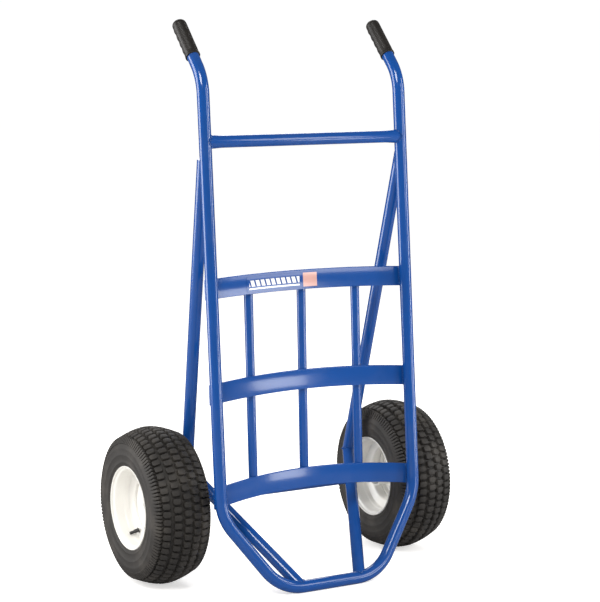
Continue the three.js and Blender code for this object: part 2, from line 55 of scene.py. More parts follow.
# %% Sizes of the frame
MM = 0.001
SHIFT_Y = -204.653  # moves the truck so that its box is centred on the origin
TUBE_R = 15.9
RAIL_X = 286.8
RAIL_LEAN = 0.0762
RAIL_FOOT_Y = 6.4
HANDLE_BEND_R = 118
FOOT_BEND_R = 138
NOSE_BEND_R = 122
NOSE_Z = TUBE_R * math.cos(math.pi / 12)
NOSE_X = 144.3
NOSE_Y = -31.2
RAIL_CORNER_Z = 208.4
HANDLE_CORNER_Z = 1308.5
HANDLE_ANGLE = math.radians(44)
HANDLE_LENGTH = 194.5
GRIP_LENGTH = 122
CROSS_Z = 1150.7
BRACE_TOP_Z = 1108
BRACE_TOP_OUT = 3.5
BRACE_TOP_BACK = 7.4
KNEE = (248.7, 296.1, 277.9)
FOOT_X = 86.4
BAND_H = 50.8
BAND_T = 4.8
BAND_RISE = 0.32
BAND_OVERHANG = 10
BANDS = {"bottom_band": (254, 45), "middle_band": (517, 32.52), "top_band": (781, 21)}
BAR_R = 11.8
BAR_X = 158.5
BAR_GAP = 0.3  # between a bar and the back of a band
TUBE_STOP = 6.3  # from the end of the tube to the end of the grip
AXLE_R = 12.7
BORE_CLEARANCE = 0.5

# %% Sizes of the label and the welds
LABEL_X = -66
LABEL_HALF_W = 106
LABEL_HALF_H = 19.5
CROSS_SEAM_R = 15.7
BEAD_RADIUS = 0.0027  # metres, as a node tree takes them
BEAD_STEP = 0.0030

# %% Sizes of the wheels
TRACK = 365.6
TYRE_R = 205
FLANGE_R = 108
SEAT_R = 100
WELL_R = 76.5
WELL_HALF = 23
RIM_HALF = 75.4
DISC_FACE = 16
HUB_R = 28
HUB_OUT = 12
HUB_IN = 58
RIM_SHEET = 2.5
DISC_SHEET = 3.0
BEARING_FLANGE_R = 24.5
BEARING_FLANGE_T = 2
BEARING_SLEEVE_R = 19.5
BEARING_SLEEVE_LENGTH = 12
low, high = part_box("axle")
AXLE = (low + high) / 2 / MM
AXLE_END = high.x / MM
print("axle at", [round(v, 1) for v in AXLE], "reaching", round(AXLE_END, 1))

# %% [markdown]
# ## Materials
# Each surface could be a flat colour, but paint, rubber and zinc each vary a little over a real
# truck. A shader node group makes each kind of surface: it takes a colour and gives back a
# colour, a roughness and a height for the bump. The Principled shader stays in the material.


# %% Node helpers
def add(tree, kind, inputs=(), **settings):
    """A node with its settings. inputs holds a value or an output socket for each input in turn."""
    node = tree.nodes.new(kind)
    for key, value in settings.items():
        setattr(node, key, value)
    pairs = inputs.items() if isinstance(inputs, dict) else enumerate(inputs)
    for key, value in pairs:
        if isinstance(value, bpy.types.NodeSocket):
            tree.links.new(value, node.inputs[key])
        elif value is not None:
            node.inputs[key].default_value = value
    return node


def calc(tree, operation, *values):
    return add(tree, "ShaderNodeMath", values, operation=operation).outputs[0]


def blend_colour(tree, share, one, other):
    node = add(tree, "ShaderNodeMix", data_type="RGBA")
    for key, value in ((0, share), (6, one), (7, other)):
        if isinstance(value, bpy.types.NodeSocket):
            tree.links.new(value, node.inputs[key])
        else:
            node.inputs[key].default_value = value
    return node.outputs[2]


def noise(tree, place, scale, detail=4.0, rough=0.55):
    inputs = {"Vector": place, "Scale": scale, "Detail": detail, "Roughness": rough}
    return add(tree, "ShaderNodeTexNoise", inputs).outputs["Fac"]


def between(tree, value, low, high, to_low=0.0, to_high=1.0):
    node = add(tree, "ShaderNodeMapRange", (value, low, high, to_low, to_high))
    node.interpolation_type = "SMOOTHSTEP"
    return node.outputs[0]


def surface_group(name, inputs):
    """An empty shader group with a Colour input, the named float inputs and the shared outputs."""
    tree = bpy.data.node_groups.new(name, "ShaderNodeTree")
    face = tree.interface
    face.new_socket("Colour", in_out="INPUT", socket_type="NodeSocketColor")
    for key, value in inputs.items():
        face.new_socket(key, in_out="INPUT", socket_type="NodeSocketFloat").default_value = value
    for key, kind in (("Colour", "Color"), ("Roughness", "Float"), ("Height", "Float")):
        face.new_socket(key, in_out="OUTPUT", socket_type="NodeSocket" + kind)
    return tree, tree.nodes.new("NodeGroupInput").outputs, tree.nodes.new("NodeGroupOutput").inputs


def finish_group(tree, out, colour, roughness, height):
    for key, value in (("Colour", colour), ("Roughness", roughness), ("Height", height)):
        tree.links.new(value, out[key])


# %% [markdown]
# ### Paint
# A sprayed coat over tube: orange peel in the bump, a cloudy change of roughness where hands and
# straps have rubbed, a little pale dust, and a few dark specks where the coat is thin.

# %% Paint group
paint_tree, given, out = surface_group("painted_steel", {"Roughness": 0.25, "Dust": 0.15, "Peel": 1.0})
place = add(paint_tree, "ShaderNodeTexCoord").outputs["Object"]
peel = noise(paint_tree, place, 420.0, 2.0)
cloud = noise(paint_tree, place, 9.0, 5.0)
speck = between(paint_tree, noise(paint_tree, place, 150.0, 3.0), 0.70, 0.76)
dust = calc(paint_tree, "MULTIPLY", between(paint_tree, cloud, 0.45, 0.75), given["Dust"])
tone = between(paint_tree, noise(paint_tree, place, 3.0, 3.0), 0.3, 0.7, 0.0, 0.12)
dulled = blend_colour(paint_tree, tone, given["Colour"], (0.02, 0.03, 0.05, 1))
dusty = blend_colour(paint_tree, dust, dulled, (0.45, 0.44, 0.40, 1))
specked = calc(paint_tree, "MULTIPLY", speck, 0.35)
colour = blend_colour(paint_tree, specked, dusty, (0.03, 0.025, 0.02, 1))
rough = calc(paint_tree, "ADD", given["Roughness"], calc(paint_tree, "MULTIPLY", dust, 1.2))
swell = calc(paint_tree, "MULTIPLY", noise(paint_tree, place, 60.0, 2.0), 0.5)
height = calc(paint_tree, "MULTIPLY", calc(paint_tree, "ADD", peel, swell), given["Peel"])
finish_group(paint_tree, out, colour, rough, height)

# %% [markdown]
# ### Rubber
# Moulded rubber is nearly flat in colour. Fine grain breaks up the light, and pale dust lies in
# patches, more of it on a tyre than on a grip.

# %% Rubber group
rubber_tree, given, out = surface_group("moulded_rubber", {"Roughness": 0.7, "Dust": 0.2, "Grain": 1.0})
place = add(rubber_tree, "ShaderNodeTexCoord").outputs["Object"]
grain = noise(rubber_tree, place, 900.0, 3.0)
patch = between(rubber_tree, noise(rubber_tree, place, 14.0, 6.0), 0.42, 0.72)
dust = calc(rubber_tree, "MULTIPLY", patch, given["Dust"])
colour = blend_colour(rubber_tree, dust, given["Colour"], (0.16, 0.14, 0.115, 1))
rough = calc(rubber_tree, "ADD", given["Roughness"], calc(rubber_tree, "MULTIPLY", grain, 0.15))
height = calc(rubber_tree, "MULTIPLY", grain, given["Grain"])
finish_group(rubber_tree, out, colour, rough, height)

# %% [markdown]
# ### Zinc
# Plated steel has crystal patches of slightly different brightness and a fine turned grain.

# %% Zinc group
zinc_tree, given, out = surface_group("zinc_plate", {"Roughness": 0.35, "Tarnish": 0.3})
place = add(zinc_tree, "ShaderNodeTexCoord").outputs["Object"]
cells = add(zinc_tree, "ShaderNodeTexVoronoi", {"Vector": place, "Scale": 220.0}).outputs["Color"]
spangle = calc(zinc_tree, "MULTIPLY", add(zinc_tree, "ShaderNodeSeparateColor", (cells,)).outputs[0], 0.25)
tarnish = between(zinc_tree, noise(zinc_tree, place, 35.0, 5.0), 0.45, 0.7)
tarnish = calc(zinc_tree, "MULTIPLY", tarnish, given["Tarnish"])
bright = blend_colour(zinc_tree, spangle, given["Colour"], (0.80, 0.81, 0.82, 1))
colour = blend_colour(zinc_tree, tarnish, bright, (0.20, 0.18, 0.15, 1))
rough = calc(zinc_tree, "ADD", given["Roughness"], calc(zinc_tree, "MULTIPLY", tarnish, 0.6))
finish_group(zinc_tree, out, colour, rough, noise(zinc_tree, place, 500.0, 2.0))


# %% Material maker
def material(name, tree, colour, values, metallic=0.0, coat=0.0, bump=0.05, depth=0.0002):
    """A material whose colour, roughness and bump come from a surface group."""
    made = bpy.data.materials.new(name)
    made.use_nodes = True
    nodes = made.node_tree
    nodes.nodes.clear()
    group = add(nodes, "ShaderNodeGroup")
    group.node_tree = tree
    group.inputs["Colour"].default_value = (*colour, 1)
    for key, value in values.items():
        group.inputs[key].default_value = value
    raised = add(nodes, "ShaderNodeBump", {
        "Strength": bump,
        "Distance": depth,
        "Height": group.outputs["Height"],
    })
    shader = add(nodes, "ShaderNodeBsdfPrincipled", {
        "Base Color": group.outputs["Colour"],
        "Roughness": group.outputs["Roughness"],
        "Normal": raised.outputs[0],
        "Metallic": metallic,
        "Coat Weight": coat,
        "Coat Roughness": 0.06,
    })
    target = add(nodes, "ShaderNodeOutputMaterial")
    nodes.links.new(shader.outputs[0], target.inputs["Surface"])
    made["shader_name"] = shader.name
    return made


BLUE = (0.0035, 0.059, 0.265)
blue_paint = material("blue_paint", paint_tree, BLUE, {"Roughness": 0.14, "Dust": 0.02}, coat=0.3, bump=0.1)
rim_paint = material(
    "rim_paint", paint_tree, (0.79, 0.775, 0.735), {"Roughness": 0.36, "Dust": 0.12}, coat=0.2, bump=0.15
)
tyre_rubber = material(
    "tyre_rubber", rubber_tree, (0.0185, 0.0155, 0.0130), {"Roughness": 0.6, "Dust": 0.20}, bump=0.35
)
grip_rubber = material(
    "grip_rubber", rubber_tree, (0.011, 0.0088, 0.0070), {"Roughness": 0.38, "Dust": 0.02}, bump=0.15
)
valve_rubber = material("valve_rubber", rubber_tree, (0.02, 0.02, 0.02), {"Roughness": 0.5, "Dust": 0.1})
cap_plastic = material("cap_plastic", rubber_tree, (0.012, 0.012, 0.012), {"Roughness": 0.35, "Dust": 0.05})
zinc = material("zinc_steel", zinc_tree, (0.55, 0.55, 0.54), {}, metallic=1.0, bump=0.08)

# %% [markdown]
# ### Axle and label
# The axle was sprayed with the frame and its ends masked, so its paint fades to bare steel outside
# the braces. The label is a printed film: plain white strokes, a line and a pale patch on blue.

# %% Axle material
axle_steel = material("axle_steel", zinc_tree, (0.50, 0.50, 0.49), {}, metallic=1.0, bump=0.08)
nodes = axle_steel.node_tree
shader = nodes.nodes[axle_steel["shader_name"]]
steel_colour = shader.inputs["Base Color"].links[0].from_socket
place = add(nodes, "ShaderNodeTexCoord").outputs["Object"]
across = calc(nodes, "ABSOLUTE", add(nodes, "ShaderNodeSeparateXYZ", (place,)).outputs[0])
ragged = calc(nodes, "ADD", across, calc(nodes, "MULTIPLY", noise(nodes, place, 60.0), 0.006))
painted = between(nodes, ragged, 0.2735, 0.2755, 1.0, 0.0)
nodes.links.new(blend_colour(nodes, painted, steel_colour, (*BLUE, 1)), shader.inputs["Base Color"])
nodes.links.new(calc(nodes, "SUBTRACT", 1.0, painted), shader.inputs["Metallic"])

# %% Label material
label_film = material("label_film", paint_tree, BLUE, {"Roughness": 0.14, "Dust": 0.02}, coat=0.3, bump=0.1)
nodes = label_film.node_tree
shader = nodes.nodes[label_film["shader_name"]]
film_colour = shader.inputs["Base Color"].links[0].from_socket
place = add(nodes, "ShaderNodeAttribute", attribute_name="label_place").outputs["Vector"]
along, up, _ = add(nodes, "ShaderNodeSeparateXYZ", (place,)).outputs
slant = calc(nodes, "ADD", along, calc(nodes, "MULTIPLY", up, 0.05))
stroke = calc(nodes, "GREATER_THAN", calc(nodes, "FRACT", calc(nodes, "MULTIPLY", slant, 14.0)), 0.30)


def window(value, middle, half):
    return calc(nodes, "LESS_THAN", calc(nodes, "ABSOLUTE", calc(nodes, "SUBTRACT", value, middle)), half)


bars = calc(nodes, "MULTIPLY", stroke, window(up, 0.55, 0.20))
line = window(up, 0.20, 0.05)
printed = calc(nodes, "MULTIPLY", calc(nodes, "MAXIMUM", bars, line), window(along, 0.39, 0.35))
patch = calc(nodes, "MULTIPLY", window(along, 0.885, 0.095), window(up, 0.5, 0.46))
white = blend_colour(nodes, printed, film_colour, (0.85, 0.85, 0.84, 1))
white = blend_colour(nodes, patch, white, (0.58, 0.33, 0.29, 1))
nodes.links.new(white, shader.inputs["Base Color"])
print("materials:", len(bpy.data.materials))


# %% [markdown]
# ## Making meshes
# Every piece is a mesh of its own in place: the object stays at the origin, unturned and unscaled.


# %% Mesh helpers
def piece(name, verts, faces, surface, body, slot, stands_for=(), sharp=35):
    """A finished piece from vertices in millimetres, riding on a body of the frame."""
    mesh = bpy.data.meshes.new(name)
    mesh.from_pydata([tuple(c * MM for c in v) for v in verts], [], faces)
    return finish_piece(name, mesh, surface, body, stands_for, sharp)


def finish_piece(name, mesh, surface, body, stands_for=(), sharp=35):
    work = bmesh.new()
    work.from_mesh(mesh)
    bmesh.ops.recalc_face_normals(work, faces=work.faces)
    work.to_mesh(mesh)
    work.free()
    mesh.polygons.foreach_set("use_smooth", [True] * len(mesh.polygons))
    mesh.set_sharp_from_angle(angle=math.radians(sharp))
    mesh.materials.clear()
    mesh.materials.append(surface)
    made = bpy.data.objects.new(name, mesh)
    bpy.context.scene.collection.objects.link(made)
    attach(made, body)
    if stands_for:
        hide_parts(*stands_for)
    print(name, len(mesh.polygons), "faces")
    return made


def joined(parts):
    """Several (verts, faces) as one."""
    verts, faces = [], []
    for more_verts, more_faces in parts:
        base = len(verts)
        verts += list(more_verts)
        faces += [tuple(i + base for i in face) for face in more_faces]
    return verts, faces


def skin(rings):
    """Quads between rings of the same length, with a cap on each end."""
    count = len(rings[0])
    verts = [v for ring in rings for v in ring]
    faces = []
    for i in range(len(rings) - 1):
        a, b = i * count, (i + 1) * count
        faces += [(a + k, a + (k + 1) % count, b + (k + 1) % count, b + k) for k in range(count)]
    faces.append(tuple(range(count - 1, -1, -1)))
    faces.append(tuple((len(rings) - 1) * count + k for k in range(count)))
    return verts, faces


def tube(stations, radius, sides=40):
    """A round tube through (point, tangent) stations. radius may be a number for each station."""
    point, tangent = stations[0]
    side = tangent.orthogonal().normalized()
    rings = []
    for i, (point, along) in enumerate(stations):
        side = tangent.rotation_difference(along) @ side
        tangent = along
        other = tangent.cross(side).normalized()
        size = radius[i] if isinstance(radius, (list, tuple)) else radius
        turn = [2 * math.pi * k / sides for k in range(sides)]
        rings.append([point + (side * math.cos(t) + other * math.sin(t)) * size for t in turn])
    return skin(rings)


def straight(a, b):
    along = (b - a).normalized()
    return [(a, along), (b, along)]


def rounded_path(corners, radii, steps=14):
    """Stations along straight runs joined by bends."""
    stations = [(corners[0], (corners[1] - corners[0]).normalized())]
    for before, corner, after, radius in zip(corners, corners[1:], corners[2:], radii):
        into, leaving = (corner - before).normalized(), (after - corner).normalized()
        turn = into.angle(leaving)
        axis = into.cross(leaving).normalized()
        inward = axis.cross(into)
        start = corner - into * (radius * math.tan(turn / 2))
        for i in range(steps + 1):
            t = turn * i / steps
            spot = start + into * (radius * math.sin(t)) + inward * (radius * (1 - math.cos(t)))
            stations.append((spot, Matrix.Rotation(t, 3, axis) @ into))
    stations.append((corners[-1], (corners[-1] - corners[-2]).normalized()))
    return stations


# %% Places that pieces share
def rail_y(z):
    return RAIL_FOOT_Y + RAIL_LEAN * z + SHIFT_Y


def rail(side, z):
    return Vector((side * RAIL_X, rail_y(z), z))


def nose(side):
    return Vector((side * NOSE_X, NOSE_Y + SHIFT_Y, NOSE_Z))


def foot(side):
    return Vector((side * FOOT_X, NOSE_Y + SHIFT_Y, NOSE_Z))


def knee(side):
    return Vector((side * KNEE[0], KNEE[1] + SHIFT_Y, KNEE[2]))


def brace_top(side):
    return rail(side, BRACE_TOP_Z) + Vector((side * BRACE_TOP_OUT, BRACE_TOP_BACK, 0))


handle_way = Vector((0, math.sin(HANDLE_ANGLE), math.cos(HANDLE_ANGLE)))
rail_way = (rail(1, 1000) - rail(1, 0)).normalized()


def handle(side, along):
    return rail(side, HANDLE_CORNER_Z) + handle_way * along


# %% [markdown]
# ## Frame tubes
# The main frame is one tube bent through six corners. It could be cut from straight cylinders and
# elbows, but one skin along a rounded path keeps the bends smooth and free of seams.

# %% Main frame tube
tube_end = HANDLE_LENGTH - TUBE_STOP
corners = [handle(-1, tube_end), rail(-1, HANDLE_CORNER_Z), rail(-1, RAIL_CORNER_Z), nose(-1)]
corners += [nose(1), rail(1, RAIL_CORNER_Z), rail(1, HANDLE_CORNER_Z), handle(1, tube_end)]
bends = [HANDLE_BEND_R, FOOT_BEND_R, NOSE_BEND_R]
bends += bends[::-1]
shape = tube(rounded_path(corners, bends), TUBE_R, 48)
piece("frame_tube", *shape, blue_paint, "frame", "frame_paint", ["main_frame_tube"])

# %% Cross tube and braces
# The cross tube is belled up and down at each end, where it was pressed round the rail.
flare = [(-RAIL_X + 4, 14.0, 17.6), (-RAIL_X + 22, 14.6, 17.4), (-RAIL_X + 46, 15.9, 15.9)]
flare += [(-x, deep, tall) for x, deep, tall in reversed(flare)]
rings = []
for x, deep, tall in flare:
    turns = [2 * math.pi * k / 40 for k in range(40)]
    middle = Vector((x, rail_y(CROSS_Z), CROSS_Z))
    rings.append([middle + Vector((0, deep * math.cos(t), tall * math.sin(t))) for t in turns])
piece("cross_tube", *skin(rings), blue_paint, "frame", "frame_paint", ["upper_cross_tube"])


def mitred(start, corner, far, sides=40):
    """A tube from start to the plane that halves the corner towards far."""
    along = (corner - start).normalized()
    normal = (along + (far - corner).normalized()).normalized()
    verts, faces = tube(straight(start, corner), TUBE_R, sides)
    for i in range(sides, 2 * sides):
        lift = (corner - verts[i]).dot(normal) / along.dot(normal)
        verts[i] = verts[i] + along * lift
    return verts, faces


for label, side in (("left", -1), ("right", 1)):
    upper = mitred(brace_top(side), knee(side), foot(side))
    piece(f"{label}_brace_upper", *upper, blue_paint, "frame", "frame_paint", [f"{label}_upper_brace"])
    lower = mitred(foot(side), knee(side), brace_top(side))
    piece(f"{label}_brace_lower", *lower, blue_paint, "frame", "frame_paint", [f"{label}_lower_brace"])

# %% [markdown]
# ## Bands and bars
# Each band is flat bar rolled to a bow. A rounded section follows the bow, leans with the rails and
# climbs a little towards the middle, as the bands on the truck do. Straight bars stand behind them.


# %% Band shape
def bow_radius(bow):
    return (RAIL_X**2 + bow**2) / (2 * bow)


def end_offset(bow):
    return TUBE_R / math.cos(math.asin(RAIL_X / bow_radius(bow)))


def band_point(band, x, depth, up):
    """A point of a band: across the truck, into its thickness and up from its middle line."""
    z, bow = BANDS[band]
    radius = bow_radius(bow)
    angle = math.asin(x / radius)
    around = (radius + depth) * math.cos(angle) + end_offset(bow) + bow - radius
    climb = BAND_RISE * (around - end_offset(bow))
    return Vector(((radius + depth) * math.sin(angle), rail_y(z) + around + RAIL_LEAN * up, z + up + climb))


def strip(band, half_width, near, far, half_height, corner, steps=48, centre=0):
    """A strip along a band between two depths, with rounded long edges."""
    section = []
    for cx, cy, first in ((1, 1, 0), (-1, 1, 90), (-1, -1, 180), (1, -1, 270)):
        for k in range(5):
            t = math.radians(first + 22.5 * k)
            middle, half = (near + far) / 2, (far - near) / 2 - corner
            section.append((middle + cx * half + corner * math.cos(t),
                            cy * (half_height - corner) + corner * math.sin(t)))
    rings = []
    for i in range(steps + 1):
        x = centre + half_width * (2 * i / steps - 1)
        rings.append([band_point(band, x, depth, up) for depth, up in section])
    return skin(rings)


# %% Bands
for name in BANDS:
    shape = strip(name, RAIL_X + BAND_OVERHANG, 0, BAND_T, BAND_H / 2, 1.4)
    piece(name + "_bar", *shape, blue_paint, "frame", "frame_paint", [name])

# %% Label
# The film carries its own place across and up as an attribute, which the printed strokes follow.
verts, faces = strip("top_band", LABEL_HALF_W, -0.9, -0.25, LABEL_HALF_H, 0.25, 40, centre=LABEL_X)
label = piece("band_label", verts, faces, label_film, "frame", "label_film", ["top_band_label"])
place = label.data.attributes.new("label_place", "FLOAT_VECTOR", "POINT")
low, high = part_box("top_band_label")
for i, vertex in enumerate(label.data.vertices):
    across = (vertex.co.x - low.x) / (high.x - low.x)
    middle = band_point("top_band", vertex.co.x / MM, -0.6, 0).z * MM
    place.data[i].vector = (across, 0.5 + (vertex.co.z - middle) / (2 * LABEL_HALF_H * MM), 0)


# %% Upright bars
def bar_line(x):
    """The ends of a bar that lies against the backs of the top and bottom bands."""
    ends = []
    for band, up in (("bottom_band", BAND_H / 2), ("top_band", BAND_H / 2 - 12)):
        slope = math.asin(x / bow_radius(BANDS[band][1]))
        spot = band_point(band, x, 0, up)
        spot.x = x
        spot.y += (BAND_T + BAR_R + BAR_GAP) / math.cos(slope)
        ends.append(spot)
    down = (ends[0] - ends[1]).normalized()
    return ends[0] + down * (BAND_H - 12), ends[1]


for label, x in (("left", -BAR_X), ("centre", 0), ("right", BAR_X)):
    shape = tube(straight(*bar_line(x)), BAR_R, 32)
    piece(f"{label}_bar", *shape, blue_paint, "frame", "frame_paint", [f"{label}_upright_bar"])

# %% [markdown]
# ## Welds
# A weld is a row of small overlapping ripples under the paint. Each seam is a line of points, and
# Geometry Nodes lays a flattened bead at even steps along every line.


# %% Seams between tubes
def tube_seam(start, along, radius, other, other_along, other_radius, count=48):
    """Runs of points where a tube leaves another one: the far crossings of the other's wall."""
    along, other_along = along.normalized(), other_along.normalized()
    side = along.orthogonal().normalized()
    up = along.cross(side)
    runs = [[]]
    for k in range(count + 1):
        t = 2 * math.pi * k / count
        wall = start + (side * math.cos(t) + up * math.sin(t)) * radius - other
        flat = wall - other_along * wall.dot(other_along)
        way = along - other_along * along.dot(other_along)
        a, b, c = way.dot(way), 2 * flat.dot(way), flat.dot(flat) - other_radius**2
        inside = b * b - 4 * a * c
        reach = (-b + math.sqrt(inside)) / (2 * a) if inside > 0 else -1
        if reach >= 0:
            runs[-1].append(wall + other + along * reach)
        else:
            runs.append([])
    return [run for run in runs if len(run) > 1]


def knee_seam(side, count=40):
    verts, _ = mitred(brace_top(side), knee(side), foot(side), count)
    ring = verts[count : 2 * count]
    return ring + [ring[0]]


seams = []
for side in (-1, 1):
    inward = Vector((-side, 0, 0))
    seams += tube_seam(rail(side, CROSS_Z), inward, CROSS_SEAM_R, rail(side, CROSS_Z), rail_way, TUBE_R)
    top = rail(side, BRACE_TOP_Z)
    seams += tube_seam(brace_top(side), knee(side) - brace_top(side), TUBE_R, top, rail_way, TUBE_R)
    rise = knee(side) - foot(side)
    seams += tube_seam(foot(side), rise, TUBE_R, foot(side), Vector((1, 0, 0)), TUBE_R)
    seams.append(knee_seam(side))

# %% Seams of bands, bars and axle
for band in BANDS:
    for side in (-1, 1):
        for x in (RAIL_X - 9, RAIL_X + 8.5):
            seams.append([band_point(band, side * x, -0.8, up) for up in (-23, 0, 23)])
    for x in (-BAR_X, 0, BAR_X):
        for dx in (-7.5, 7.5):
            top = 12 if band == "top_band" else 22
            bottom = -12 if band == "bottom_band" else -22
            seams.append([band_point(band, x + dx, BAND_T + 1.2, up) for up in (bottom, 0, top)])
for side in (-1, 1):
    share = (AXLE.y - foot(side).y) / (knee(side).y - foot(side).y)
    touch = foot(side).lerp(knee(side), share)
    for dx in (-17, 17):
        seams.append([
            Vector((touch.x + dx * 0.8, AXLE.y + dy, AXLE.z + 9.5 - 0.35 * dy)) for dy in (-9, 0, 9)
        ])
print("seams:", len(seams))

# %% Bead tree
beads = bpy.data.node_groups.new("weld_beads", "GeometryNodeTree")
face = beads.interface
face.new_socket("Seams", in_out="INPUT", socket_type="NodeSocketGeometry")
size_in = face.new_socket("Bead radius", in_out="INPUT", socket_type="NodeSocketFloat")
step_in = face.new_socket("Step", in_out="INPUT", socket_type="NodeSocketFloat")
coat_in = face.new_socket("Material", in_out="INPUT", socket_type="NodeSocketMaterial")
face.new_socket("Beads", in_out="OUTPUT", socket_type="NodeSocketGeometry")
source = beads.nodes.new("NodeGroupInput").outputs
result = beads.nodes.new("NodeGroupOutput").inputs
lines = add(beads, "GeometryNodeMeshToCurve", (source["Seams"],)).outputs[0]
spots = add(beads, "GeometryNodeCurveToPoints", {"Curve": lines, "Length": source["Step"]}, mode="LENGTH")
bead = add(beads, "GeometryNodeMeshIcoSphere", {"Radius": source["Bead radius"], "Subdivisions": 2})
jitter = add(beads, "FunctionNodeRandomValue", {"Seed": 7}, data_type="FLOAT")
jitter.inputs[2].default_value, jitter.inputs[3].default_value = 0.85, 1.12
scaled = add(beads, "ShaderNodeCombineXYZ", (jitter.outputs[1], 1.0, 0.62))
placed = add(beads, "GeometryNodeInstanceOnPoints", {
    "Points": spots.outputs["Points"],
    "Instance": bead.outputs[0],
    "Rotation": spots.outputs["Rotation"],
    "Scale": scaled.outputs[0],
})
real = add(beads, "GeometryNodeRealizeInstances", (placed.outputs[0],))
coated = add(beads, "GeometryNodeSetMaterial", {"Geometry": real.outputs[0], "Material": source["Material"]})
beads.links.new(coated.outputs[0], result[0])


# %% Weld piece
def converted(name, mesh, tree, values):
    """The mesh that a Geometry Nodes tree makes from this one."""
    carrier = bpy.data.objects.new(name, mesh)
    bpy.context.scene.collection.objects.link(carrier)
    modifier = carrier.modifiers.new("nodes", "NODES")
    modifier.node_group = tree
    for socket, value in values:
        modifier[socket.identifier] = value
    ready = carrier.evaluated_get(bpy.context.evaluated_depsgraph_get())
    made = bpy.data.meshes.new_from_object(ready)
    carrier.modifiers.remove(modifier)
    bpy.data.objects.remove(carrier)
    return made


verts = [p * MM for line in seams for p in line]
edges, base = [], 0
for line in seams:
    edges += [(base + i, base + i + 1) for i in range(len(line) - 1)]
    base += len(line)
seam_mesh = bpy.data.meshes.new("seam_lines")
seam_mesh.from_pydata([tuple(v) for v in verts], edges, [])
bead_values = [(size_in, BEAD_RADIUS), (step_in, BEAD_STEP), (coat_in, blue_paint)]
bead_mesh = converted("weld_lines", seam_mesh, beads, bead_values)
finish_piece("frame_welds", bead_mesh, blue_paint, "frame", sharp=80)

# %% [markdown]
# ## Grips
# A moulded grip: a collar at the open end, four finger swells on the underside, fine ribs on top and
# a domed end. Its radius is a function of the place along it and the angle round it.


# %% Grip shape
def grip_radius(along, turn):
    under = max(0.0, math.cos(turn)) ** 0.6
    over = max(0.0, -math.cos(turn)) ** 0.5
    body = 18.4
    if along < 7:
        return 19.2 - 0.3 * max(0.0, (along - 5) / 2)
    if 14 < along < 106:
        swell = math.sin(math.pi * (along - 14) / 92 * 4) ** 2
        body += under * (1.7 * swell - 0.5)
        body += over * 0.35 * math.cos(2 * math.pi * along / 4.2)
    if along > GRIP_LENGTH - 13:
        body *= math.sqrt(max(0.0, 1 - ((along - GRIP_LENGTH + 13) / 13) ** 2 * 0.97))
    return body


def grip(side, sides=56):
    start = handle(side, HANDLE_LENGTH - GRIP_LENGTH)
    lower = Vector((0, math.cos(HANDLE_ANGLE), -math.sin(HANDLE_ANGLE)))
    across = handle_way.cross(lower)
    places = [0.0, 0.6] + [1.2 + 0.9 * i for i in range(134)] + [GRIP_LENGTH - 0.2, GRIP_LENGTH]
    rings = []
    for along in places:
        inset = 0.8 if along == 0.0 else 0.0
        ring = []
        for k in range(sides):
            t = 2 * math.pi * k / sides
            radius = grip_radius(min(along, GRIP_LENGTH - 0.05), t) - inset
            ring.append(start + handle_way * along + (lower * math.cos(t) + across * math.sin(t)) * radius)
        rings.append(ring)
    return skin(rings)


for label, side in (("left", -1), ("right", 1)):
    piece(f"{label}_hand_grip", *grip(side), grip_rubber, "frame", "grip_rubber", [f"{label}_grip"], sharp=50)

# %% [markdown]
# ## Wheels
# Round pieces are spun about the axle from a profile of (radius, outboard) pairs. A wheel's own
# middle plane is at 0, and outboard is positive on both sides of the truck.


# %% Spun pieces
def spun(profile, side, middle=TRACK, segments=96):
    """A closed profile turned about the axle."""
    rings = []
    for k in range(segments):
        t = 2 * math.pi * k / segments
        rings.append([
            Vector((side * (middle + out), AXLE.y + r * math.sin(t), AXLE.z + r * math.cos(t)))
            for r, out in profile
        ])
    count = len(profile)
    verts = [v for ring in rings for v in ring]
    faces = []
    for i in range(segments):
        a, b = i * count, ((i + 1) % segments) * count
        faces += [(a + k, a + (k + 1) % count, b + (k + 1) % count, b + k) for k in range(count)]
    return verts, faces


def sheet(line, thickness):
    """The closed outline of a sheet whose middle follows the line."""
    points = [Vector(p) for p in line]
    one, other = [], []
    for i, here in enumerate(points):
        into = here - points[max(i - 1, 0)]
        leaving = points[min(i + 1, len(points) - 1)] - here
        along = into.normalized() + leaving.normalized()
        along.normalize()
        across = Vector((along.y, -along.x)) * thickness / 2
        one.append(tuple(here + across))
        other.append(tuple(here - across))
    return one + other[::-1]


def rounded_line(points, radius, steps=4):
    """A line with its inner corners rounded."""
    line = [points[0]]
    for before, corner, after in zip(points, points[1:], points[2:]):
        a, c, b = Vector(before), Vector(corner), Vector(after)
        reach = min(radius, (a - c).length * 0.45, (b - c).length * 0.45)
        start, end = c + (a - c).normalized() * reach, c + (b - c).normalized() * reach
        for k in range(steps + 1):
            t = k / steps
            line.append(tuple(start * (1 - t) ** 2 + c * (2 * t * (1 - t)) + end * t**2))
    line.append(points[-1])
    return line


# %% [markdown]
# ### Rim
# Pressed steel: a rolled lip, a bead seat with a small step in it, a slope down into the well, and
# the same again on the other side. A smooth disc with a dished middle carries the hub.

